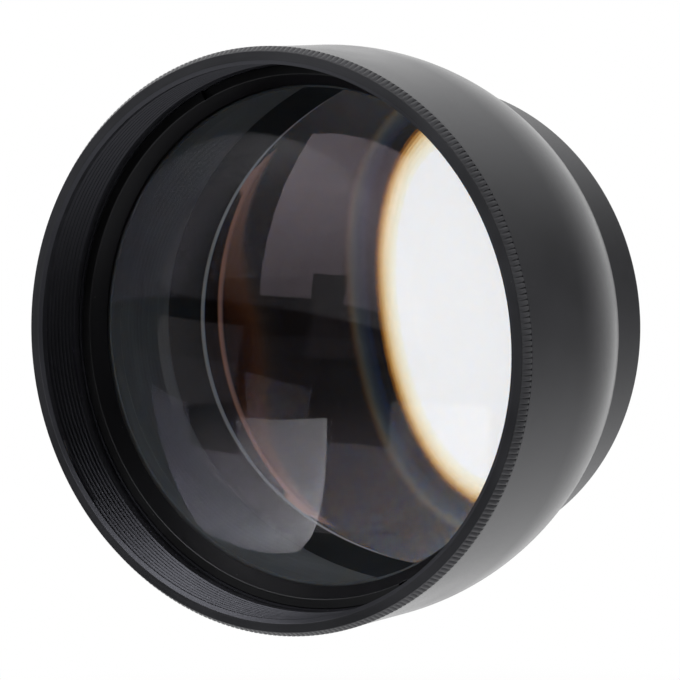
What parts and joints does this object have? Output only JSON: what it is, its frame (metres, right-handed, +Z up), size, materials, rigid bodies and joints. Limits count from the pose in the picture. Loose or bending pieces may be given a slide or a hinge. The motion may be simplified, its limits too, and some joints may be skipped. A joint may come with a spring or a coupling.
{
  "type": "telephoto conversion lens",
  "caption": "Round afocal telephoto attachment: large glass in a knurled threaded front rim, rounded black barrel, rear male thread for a camera lens.",
  "frame": {"origin": "on the optical axis, in the plane of the rear seating shoulder that the male rear thread starts from", "axes": "+Y along the optical axis towards the camera; the front rim looks towards -Y; +Z is up"},
  "size_m": [0.0706, 0.0426, 0.0706],
  "materials": {
    "front_ring_black": "black anodised, satin, knurled outside, threaded inside",
    "barrel_black": "black anodised, satin",
    "ring_black": "black anodised, matt",
    "trap_black": "black anodised, matt, stepped against stray light",
    "washer_black": "thin matt black washer",
    "coated_glass": "polished, thin violet-grey anti-reflection coating"
  },
  "bodies": {
    "root": {"front_ring": "front_ring_black", "main_barrel": "barrel_black", "front_retaining_ring": "ring_black", "front_element": "coated_glass", "cushion_washer": "washer_black", "light_trap": "trap_black", "mount_ring": "barrel_black", "rear_cell": "ring_black", "negative_element": "coated_glass", "positive_element": "coated_glass", "rear_retaining_ring": "ring_black"}
  },
  "joints": []
}
